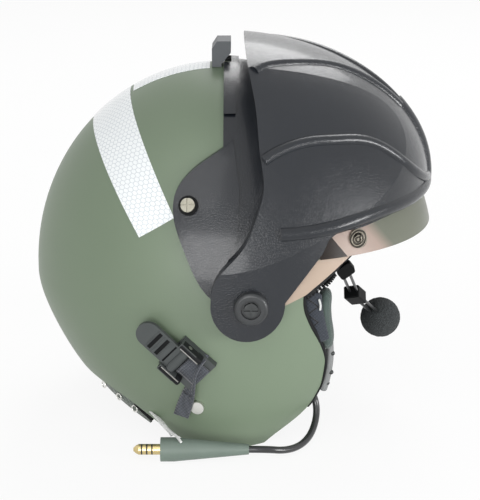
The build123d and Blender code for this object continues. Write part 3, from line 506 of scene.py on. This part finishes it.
# Cords, each one smooth line along its route
def round_cord(name, route, diameter, slot, material, *nodes):
    """A round cord whose route is given in millimetres."""
    curve = bpy.data.curves.new(name, "CURVE")
    curve.dimensions = "3D"
    line = curve.splines.new("NURBS")
    line.points.add(len(route) - 1)
    for point, corner in zip(line.points, route):
        point.co = (*metres(corner), 1.0)
    line.order_u = 3
    line.use_endpoint_u = True
    curve.bevel_depth = diameter / 2 * MM
    curve.bevel_resolution = 4
    curve.resolution_u = 16
    curve.use_fill_caps = True
    curve.materials.append(material)
    piece = bpy.data.objects.new(name, curve)
    bpy.context.scene.collection.objects.link(piece)
    return give(piece, HELMET, slot, *nodes)


cord_piece = round_cord(
    "headset_cord", CORD_ROUTE, CORD_DIAMETER, "cord_rubber", skin("cord_rubber"), "cord"
)
metres(CORD_ROUTE[0])

# Laces of the nape strap: three cotton strands that hang over the plug's sleeve
LACE_DIAMETER = 1.8
LACES = (
    (
        (-57.0, -84.5, 18.5), (-55.0, -91.0, 20.5), (-49.5, -101.0, 19.0), (-44.5, -110.0, 17.8),
        (-40.5, -117.0, 17.6), (-37.0, -122.5, 17.6), (-34.2, -127.0, 15.6),
    ),
    (
        (-58.8, -84.0, 20.2), (-57.0, -90.5, 21.8), (-51.5, -100.0, 20.2), (-46.0, -108.0, 17.4),
        (-41.5, -113.5, 15.4),
    ),
    (
        (-55.2, -85.4, 16.6), (-53.0, -91.5, 19.2), (-48.0, -101.0, 18.4), (-43.5, -110.0, 17.0),
        (-41.0, -114.5, 14.4),
    ),
)
LACE_LENGTHS = (0.0489, 0.0353, 0.0333)
for number, (route, length) in enumerate(zip(LACES, LACE_LENGTHS), 1):
    lace = round_cord(f"nape_lace_{number}", route, LACE_DIAMETER, "strap_cloth", lace_finish.material)
    metres(route[0])


def smooth_line(points, share):
    """A place on a smooth line through the points, from 0 at its start to 1 at its end."""
    points = [Vector(point) for point in points]
    place = min(max(share, 0.0), 1.0) * (len(points) - 1)
    number = min(int(place), len(points) - 2)
    part = place - number
    before, start = points[max(number - 1, 0)], points[number]
    end, after = points[number + 1], points[min(number + 2, len(points) - 1)]
    return (
        start * 2
        + (end - before) * part
        + (before * 2 - start * 5 + end * 4 - after) * part**2
        + (start * 3 - before - end * 3 + after) * part**3
    ) / 2


def made_piece(name, mesh_maker, material):
    """A new smooth piece at the origin from a filled bmesh."""
    data = bpy.data.meshes.new(name)
    mesh_maker.to_mesh(data)
    mesh_maker.free()
    data.materials.append(material)
    for face in data.polygons:
        face.use_smooth = True
    piece = bpy.data.objects.new(name, data)
    bpy.context.scene.collection.objects.link(piece)
    return piece


def strap(name, spine, sides, width, thickness, material, rows=48):
    """A flat strap along a spine, turned by the direction of its sides."""
    cloth = bmesh.new()
    bmesh.ops.create_grid(cloth, x_segments=rows, y_segments=4, size=1.0)
    for vert in cloth.verts:
        share, out = (vert.co.x + 1) / 2, vert.co.y
        side = smooth_line(sides, share).normalized()
        vert.co = (smooth_line(spine, share) + side * (out * width / 2)) * MM
    bmesh.ops.recalc_face_normals(cloth, faces=cloth.faces)
    piece = made_piece(name, cloth, material)
    wall = piece.modifiers.new("thickness", "SOLIDIFY")
    wall.thickness = thickness * MM
    wall.offset = 0.0
    return piece


def strap_length(spine, steps=200):
    """How long a strap is, in metres."""
    places = [smooth_line(spine, step / steps) for step in range(steps + 1)]
    return sum((end - start).length for start, end in zip(places, places[1:])) * MM


# Webbing below the buckle: it leaves the buckle, turns edge on, opens again and ends in a sewn fold
WEB_SPINE = (
    (-20.5, -113.6, 73.0), (-23.0, -113.6, 67.1), (-25.0, -113.6, 59.7), (-26.8, -112.8, 51.5),
    (-29.6, -111.4, 43.0), (-32.4, -109.6, 34.3), (-34.7, -107.8, 26.4),
)
WEB_SIDES = (
    (0.95, 0.05, -0.30), (0.55, -0.82, -0.15), (0.16, -0.98, -0.10), (0.30, -0.94, -0.15),
    (0.72, -0.66, -0.22), (0.90, -0.36, -0.25), (0.94, -0.22, -0.25),
)
WEB_WIDTH, WEB_THICKNESS = 10.0, 1.3
HEM_WIDTH, HEM_OUT = WEB_WIDTH + 0.5, 1.5
tail = strap("webbing_twist", WEB_SPINE, WEB_SIDES, WEB_WIDTH, WEB_THICKNESS, skin("webbing"))
give(tail, HELMET, "webbing", "webbing_tail")
strap_length(WEB_SPINE)
HEM_SPINE = tuple((x, y - HEM_OUT, z) for x, y, z in WEB_SPINE[4:])
hem = strap("webbing_hem", HEM_SPINE, WEB_SIDES[4:], HEM_WIDTH, WEB_THICKNESS, skin("webbing"), rows=24)
give(hem, HELMET, "webbing")
strap_length(HEM_SPINE)

# On the buckle: places along its hinge, along its lever and out from the shell, from the hinge's middle
BUCKLE_MIDDLE = Vector((-36.05, -116.77, 69.43))
BUCKLE_ALONG, BUCKLE_UP, BUCKLE_OUT = (
    Vector((0.6582, -0.1815, 0.7307)), Vector((-0.7282, 0.0932, 0.6791)), Vector((-0.1913, -0.979, -0.0708))
)


def on_buckle(along, up, out):
    """A place on the buckle, in millimetres."""
    return BUCKLE_MIDDLE + BUCKLE_ALONG * along + BUCKLE_UP * up + BUCKLE_OUT * out


def bars(name, sizes_and_places, round_by, body, slot):
    """Rounded bars on the buckle, each with its size and its middle along, up and out."""
    form = bmesh.new()
    turn = Matrix((BUCKLE_ALONG, BUCKLE_UP, BUCKLE_OUT)).transposed().to_4x4()
    for size, middle in sizes_and_places:
        made = bmesh.ops.create_cube(form, size=1.0)["verts"]
        bmesh.ops.scale(form, verts=made, vec=metres(size))
        bmesh.ops.transform(form, verts=made, matrix=turn)
        bmesh.ops.translate(form, verts=made, vec=on_buckle(*middle) * MM)
    bmesh.ops.bevel(
        form, geom=form.edges[:], offset=round_by * MM, segments=4, profile=0.5, affect="EDGES", material=-1
    )
    return give(made_piece(name, form, skin(slot)), body, slot)


# Trim on the buckle: bars with rails on its cheeks, and slots, a groove and ribs on its thumb lever. The
# slots and the groove are near-black bars of painted shade
CHEEK, CHEEK_UP = 10.85, -2.5
CHEEK_SIZE, CHEEK_OUT = (4.0, 18.0, 8.2), 0.1
RAIL_SIZE, RAIL_INSET, RAIL_OUT = (0.7, 15.0, 0.8), 1.2, 4.1
SLOT_SIZE, SLOTS_UP = (13.6, 2.6, 0.5), (13.6, 19.8)
GROOVE_SIZE, GROOVE_UP, SLOT_OUT = (14.4, 1.2, 0.5), 7.0, 1.55
RIB_SIZE, RIBS_UP, RIB_OUT = (14.6, 0.8, 0.7), (16.7, 11.5, 21.9), 1.6
bars(
    "cheek_bars", [(CHEEK_SIZE, (side * CHEEK, CHEEK_UP, CHEEK_OUT)) for side in (-1, 1)],
    round_by=1.4, body=HELMET, slot="black_edging",
)
bars(
    "cheek_rails", [(RAIL_SIZE, (side * (CHEEK - RAIL_INSET), CHEEK_UP, RAIL_OUT)) for side in (-1, 1)],
    round_by=0.2, body=HELMET, slot="plated_pin",
)
# Slots and groove on the thumb lever: near-black bars that paint the shade inside them
bars(
    "thumb_slots_painted_shade",
    [(SLOT_SIZE, (0.0, up, SLOT_OUT)) for up in SLOTS_UP] + [(GROOVE_SIZE, (0.0, GROOVE_UP, SLOT_OUT))],
    round_by=0.24, body="thumb_lever", slot="rubber_grommet",
)
bars(
    "thumb_ribs", [(RIB_SIZE, (0.0, up, RIB_OUT)) for up in RIBS_UP],
    round_by=0.3, body="thumb_lever", slot="buckle_metal",
)
LOOP_UP_AND_OUT = ((-4.6, -1.6), (-7.5, -2.7), (-13.0, -3.0), (-20.5, -3.1))
LOOP_SPINE = tuple(tuple(on_buckle(0.0, up, out)) for up, out in LOOP_UP_AND_OUT)
LOOP_SIDES, LOOP_WIDTH = (tuple(BUCKLE_ALONG),) * 2, 15.6
loop = strap("webbing_loop", LOOP_SPINE, LOOP_SIDES, LOOP_WIDTH, WEB_THICKNESS, skin("webbing"), rows=24)
give(loop, HELMET, "webbing")
strap_length(LOOP_SPINE)

# Chin strap folded under the head, from lobe to lobe
CHIN_SPINE = (
    (19.0, -85.0, 29.5), (19.0, -84.5, 18.0), (19.0, -77.0, 7.0), (19.0, -62.0, 2.6), (19.0, -30.0, 2.2),
    (19.0, 0.0, 2.2), (19.0, 30.0, 2.2), (19.0, 62.0, 2.6), (19.0, 77.0, 7.0), (19.0, 84.5, 18.0),
    (19.0, 85.0, 29.5),
)
STRAP_THICKNESS = 1.8
CHIN_SIDES, CHIN_WIDTH = ((1, 0, 0), (1, 0, 0)), 18.0
chin = strap("chin_strap_cloth", CHIN_SPINE, CHIN_SIDES, CHIN_WIDTH, STRAP_THICKNESS, skin("strap_cloth"))
give(chin, HELMET, "strap_cloth", "chin_strap")
strap_length(CHIN_SPINE)

# Nape strap inside the shell's rear edge
NAPE_NEAR = (
    (-58.8, -83.0, 19.0), (-75.0, -71.0, 26.0), (-89.6, -56.5, 32.5), (-101.0, -38.0, 37.5),
    (-108.0, -20.0, 40.5),
)
NAPE_SPINE = NAPE_NEAR + ((-110.5, 0.0, 41.5),) + tuple((x, -y, z) for x, y, z in reversed(NAPE_NEAR))
NAPE_SIDES = tuple((x * 0.004, y * 0.002, 1.0) for x, y, z in NAPE_SPINE)
NAPE_WIDTH = 21.0
nape = strap("nape_strap_cloth", NAPE_SPINE, NAPE_SIDES, NAPE_WIDTH, STRAP_THICKNESS, skin("strap_cloth"))
give(nape, HELMET, "strap_cloth", "nape_strap")
strap_length(NAPE_SPINE)


# Padded pieces
def loose_copy(node_name, shrink):
    """A merged copy of a construction piece, drawn in a little."""
    copy = bmesh.new()
    copy.from_mesh(frame["nodes"][node_name].data)
    bmesh.ops.remove_doubles(copy, verts=copy.verts, dist=0.02 * MM)
    copy.normal_update()
    for vert in copy.verts:
        vert.co -= vert.normal * shrink * MM
    return copy


def baked(piece):
    """The piece's mesh as its modifiers leave it."""
    seen = bpy.context.evaluated_depsgraph_get()
    data = bpy.data.meshes.new_from_object(piece.evaluated_get(seen), depsgraph=seen)
    piece.modifiers.clear()
    piece.data = data
    return piece


PAD_STEPS, PAD_PRESSURE, PAD_FILL = 14, 4.0, 0.7


def pad(name, node_name, shrink=1.2, voxel=4.0, cap=2.2):
    """A soft pad: the solid remeshed, swollen like a cushion up to a cap, and smoothed."""
    slot = slots[node_name]
    piece = made_piece(name, loose_copy(node_name, shrink), skin(slot))
    evened = piece.modifiers.new("evened", "REMESH")
    evened.mode = "VOXEL"
    evened.voxel_size = voxel * MM
    baked(piece)
    start = [vert.co.copy() for vert in piece.data.vertices]
    swelling = piece.modifiers.new("swelling", "CLOTH")
    swelling.settings.use_pressure = True
    swelling.settings.uniform_pressure_force = PAD_PRESSURE
    swelling.settings.effector_weights.gravity = 0.0
    for step in range(1, PAD_STEPS + 1):
        bpy.context.scene.frame_set(step)
        bpy.context.evaluated_depsgraph_get()
    baked(piece)
    bpy.context.scene.frame_set(1)
    for vert, place in zip(piece.data.vertices, start):
        moved = vert.co - place
        if moved.length > cap * MM:
            vert.co = place + moved.normalized() * cap * MM
    softened = piece.modifiers.new("softened", "SMOOTH")
    softened.factor = 0.5
    softened.iterations = 4
    rounded = piece.modifiers.new("rounded", "SUBSURF")
    rounded.levels = rounded.render_levels = 1
    baked(piece)
    for face in piece.data.polygons:
        face.use_smooth = True
    give(piece, HELMET, slot, node_name)


pad("crown_cushion", "crown_pad", voxel=5.0)
pad("brow_cushion", "brow_pad")
pad("nape_cushion", "nape_pad")
for word in ("right", "left"):
    pad(word + "_ear_cushion", word + "_ear_seal", shrink=0.8, cap=1.5)
    pad(word + "_spacer_cushion", word + "_ear_spacer", shrink=0.8, cap=1.2)


def roll(name, spine, side, material, slot, width, depth, nose=0.1, rows=56, around=20):
    """A closed roll along a spine, oval across. Each rounded end takes a share of its length, the nose."""
    form = bmesh.new()
    bmesh.ops.create_grid(form, x_segments=rows, y_segments=around, size=1.0)
    for vert in form.verts:
        share, turn = (vert.co.x + 1) / 2, math.pi * vert.co.y
        onward = (smooth_line(spine, share + 0.01) - smooth_line(spine, share - 0.01)).normalized()
        across = (Vector(side) - onward * onward.dot(Vector(side))).normalized()
        out = onward.cross(across)
        fullness = min(share / nose, (1 - share) / nose, 1.0)
        swell = math.sqrt(max(1 - (1 - fullness) ** 2, 0.0))
        oval = across * (math.cos(turn) * width / 2) + out * (math.sin(turn) * depth / 2)
        vert.co = (smooth_line(spine, share) + oval * swell) * MM
    bmesh.ops.remove_doubles(form, verts=form.verts, dist=0.01 * MM)
    bmesh.ops.recalc_face_normals(form, faces=form.faces)
    return give(made_piece(name, form, material), HELMET, slot)


def other_side(spine):
    """The same line on the helmet's far side."""
    return tuple((x, -y, z) for x, y, z in spine)


# Edging, quilted pad with its tag, roll and lining at the front edge of each lobe
LOBE_EDGE = (
    (46.9, -99.9, 109.0), (46.6, -100.2, 103.3), (47.8, -99.8, 96.5), (51.2, -98.1, 87.7),
    (54.3, -96.2, 81.4), (57.6, -93.8, 74.7), (59.9, -91.5, 68.7), (61.4, -89.4, 63.0), (62.0, -87.8, 57.8),
    (61.6, -86.2, 50.0), (59.8, -83.7, 40.1), (57.7, -82.8, 34.2), (53.8, -82.0, 26.3), (50.2, -82.0, 21.3),
)
QUILT = (
    (51.0, -95.2, 109.0), (51.5, -95.2, 98.0), (53.5, -95.2, 88.0), (55.5, -95.0, 79.0), (57.0, -94.5, 73.0)
)
CHEEK_ROLL = (
    (62.0, -86.5, 108.5), (60.6, -86.5, 98.0), (61.0, -86.5, 88.0), (62.6, -86.5, 77.0), (63.0, -85.5, 66.0)
)
LINING = (
    (64.6, -82.0, 72.0), (65.2, -83.0, 60.0), (64.4, -83.5, 50.0), (62.7, -82.5, 40.0), (60.8, -82.0, 33.0)
)
PAD_TAG = ((56.4, -96.8, 104.5), (57.5, -96.8, 100.5), (57.3, -96.7, 96.5))
FORWARD, FORWARD_AND_UP = (1, 0, 0), (1, 0, 0.3)
for word, shaped in (("right", tuple), ("left", other_side)):
    roll(
        word + "_lobe_edging", shaped(LOBE_EDGE), FORWARD, skin("black_edging"), "black_edging",
        width=2.6, depth=4.8, nose=0.02, rows=120, around=12,
    )
    quilt = roll(
        word + "_quilted_pad", shaped(QUILT), FORWARD_AND_UP, quilt_finish.material, "comfort_pad",
        width=15.0, depth=2.8,
    )
    stuffed = roll(
        word + "_cheek_roll", shaped(CHEEK_ROLL), FORWARD, roll_finish.material, "comfort_pad",
        width=9.6, depth=15.0, nose=0.22,
    )
    roll(
        word + "_lining", shaped(LINING), FORWARD, lining_finish.material, "comfort_pad",
        width=5.4, depth=5.0, nose=0.08,
    )
    roll(
        word + "_pad_tag", shaped(PAD_TAG), FORWARD, lace_finish.material, "comfort_pad", width=1.4, depth=0.9
    )

# Knurled teeth under the face edge. On the near side they stop at the boom's clamp
TEETH_LINE = (
    (47.2, -99.4, 107.0), (60.0, -94.6, 113.6), (66.5, -89.5, 119.9), (73.0, -83.5, 125.7),
    (79.5, -77.0, 129.8),
)
TEETH, TOOTH_SIZE, TOOTH_ROUNDING = 24, (1.3, 4.6, 2.8), 0.35
CLAMP_FROM_X = 66.5
teeth = bmesh.new()
for side, spine in ((-1, TEETH_LINE), (1, other_side(TEETH_LINE))):
    for number in range(TEETH):
        share = (number + 0.5) / TEETH
        middle = smooth_line(spine, share)
        if side < 0 and middle.x > CLAMP_FROM_X:
            continue
        onward = (smooth_line(spine, share + 0.01) - smooth_line(spine, share - 0.01)).normalized()
        tooth = bmesh.ops.create_cube(teeth, size=1.0)["verts"]
        bmesh.ops.scale(teeth, verts=tooth, vec=metres(TOOTH_SIZE))
        bmesh.ops.rotate(teeth, verts=tooth, matrix=onward.to_track_quat("X", "Z").to_matrix())
        bmesh.ops.translate(teeth, verts=tooth, vec=middle * MM)
bmesh.ops.bevel(
    teeth, geom=teeth.edges[:], offset=TOOTH_ROUNDING * MM, segments=2, profile=0.5, affect="EDGES",
    material=-1,
)
give(made_piece("edge_teeth", teeth, skin("black_edging")), HELMET, "black_edging")

# Rivets on the lining, seen past the lobe's edge
RIVETS = ((66.9, -84.0, 61.0), (66.2, -84.5, 47.5), (63.8, -83.0, 39.0))
RIVET_RADIUS = 1.7
rivets = bmesh.new()
for place in RIVETS:
    for side in (1, -1):
        head = bmesh.ops.create_icosphere(rivets, subdivisions=3, radius=RIVET_RADIUS * MM)["verts"]
        bmesh.ops.translate(rivets, verts=head, vec=metres((place[0], place[1] * side, place[2])))
give(made_piece("lining_rivets", rivets, skin("dark_screw")), HELMET, "dark_screw")

# Eyelets of the nape strap, each with the way that it faces, and the dark loop that the laces leave by
EYELETS = (
    ((-68.0, -77.9, 17.6), (-0.58, -0.79, 0.0)), ((-79.4, -68.6, 22.4), (-0.70, -0.71, 0.0)),
    ((-90.7, -57.3, 26.8), (-0.80, -0.60, 0.0)),
)
EYELET_RADIUS, EYELET_WIRE_RADIUS = 2.3, 0.5
LACE_LOOP = ((-67.5, -82.0, 24.0), (-61.0, -84.3, 18.2), (-54.8, -86.0, 12.8))
eyelets = bmesh.new()
for place, facing in EYELETS:
    for side in (1, -1):
        before = set(eyelets.verts)
        wire = bmesh.ops.create_circle(eyelets, segments=12, radius=EYELET_WIRE_RADIUS * MM)["verts"]
        bmesh.ops.rotate(eyelets, verts=wire, matrix=Matrix.Rotation(math.pi / 2, 3, "X"))
        bmesh.ops.translate(eyelets, verts=wire, vec=metres((EYELET_RADIUS, 0.0, 0.0)))
        rim = {edge for vert in wire for edge in vert.link_edges}
        bmesh.ops.spin(
            eyelets, geom=[*wire, *rim], cent=(0, 0, 0), axis=(0, 0, 1), angle=2 * math.pi, steps=24,
            use_merge=True,
        )
        grown = [vert for vert in eyelets.verts if vert not in before]
        out = Vector((facing[0], facing[1] * side, facing[2])).normalized()
        bmesh.ops.rotate(eyelets, verts=grown, matrix=out.to_track_quat("Z", "Y").to_matrix())
        bmesh.ops.translate(eyelets, verts=grown, vec=metres((place[0], place[1] * side, place[2])))
bmesh.ops.recalc_face_normals(eyelets, faces=eyelets.faces)
give(made_piece("nape_eyelets", eyelets, skin("stud_metal")), HELMET, "stud_metal")
roll(
    "lace_loop", LACE_LOOP, (1, 0, 0.5), skin("rubber_grommet"), "rubber_grommet", width=3.4, depth=3.0
)

# Foam ball over the microphone
FOAM_CENTRE, FOAM_RADIUS, FOAM_UNEVEN = (106.8, -2.0, 56.3), 14.4, 0.012
ball = bmesh.new()
bmesh.ops.create_icosphere(ball, subdivisions=5, radius=FOAM_RADIUS * MM)
random.seed(7)
for vert in ball.verts:
    vert.co *= 1.0 + random.uniform(-FOAM_UNEVEN, FOAM_UNEVEN)
bmesh.ops.translate(ball, verts=ball.verts, vec=metres(FOAM_CENTRE))
foam_ball = made_piece("foam_ball", ball, skin("windscreen_foam"))
give(foam_ball, "boom", "windscreen_foam", "foam_windscreen")


bpy.context.scene.view_settings.view_transform = "Standard"
